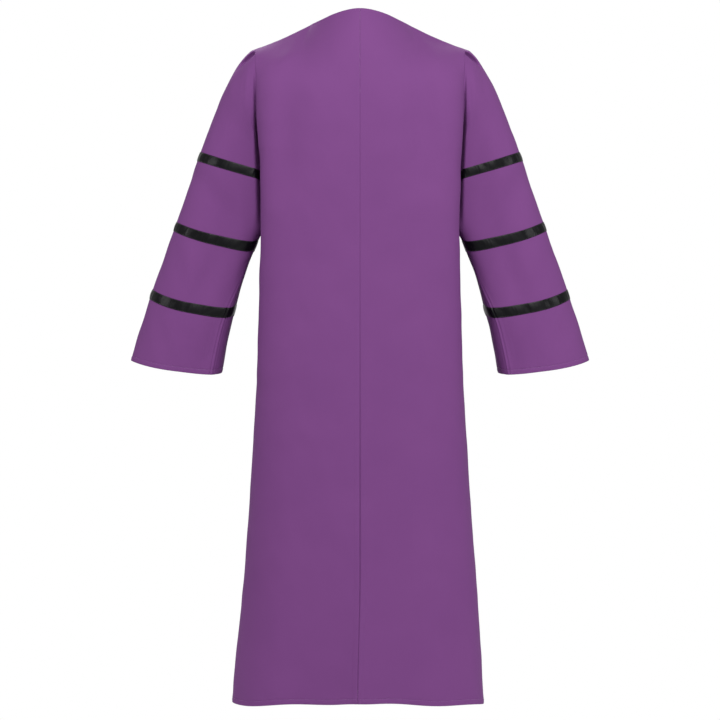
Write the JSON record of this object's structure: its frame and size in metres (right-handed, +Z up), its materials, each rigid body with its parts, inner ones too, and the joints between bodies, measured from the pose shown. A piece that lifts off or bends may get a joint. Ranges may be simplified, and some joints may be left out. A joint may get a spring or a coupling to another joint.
{
  "type": "clergy robe",
  "caption": "Full-length open-sleeved robe of matt cloth, worn and hollow, with a V neck, a lapped front, pleated sleeve crowns and satin ribbon bars round the sleeves.",
  "frame": {"origin": "on the centre line, level with the side-neck points, midway between the two shoulder seams that the wearer carries the robe by", "axes": "+Z up, the front faces -Y, +X is the wearer's left"},
  "size_m": [0.8928, 0.3054, 1.3371],
  "materials": {
    "purple_cloth": "matt woven polyester",
    "black_ribbon": "satin ribbon"
  },
  "bodies": {
    "root": {"back_left": "purple_cloth", "back_right": "purple_cloth", "front_left": "purple_cloth", "front_right": "purple_cloth", "sleeve_left": "purple_cloth", "sleeve_right": "purple_cloth", "bar_left_1": "black_ribbon", "bar_left_2": "black_ribbon", "bar_left_3": "black_ribbon", "bar_right_1": "black_ribbon", "bar_right_2": "black_ribbon", "bar_right_3": "black_ribbon"}
  },
  "joints": []
}
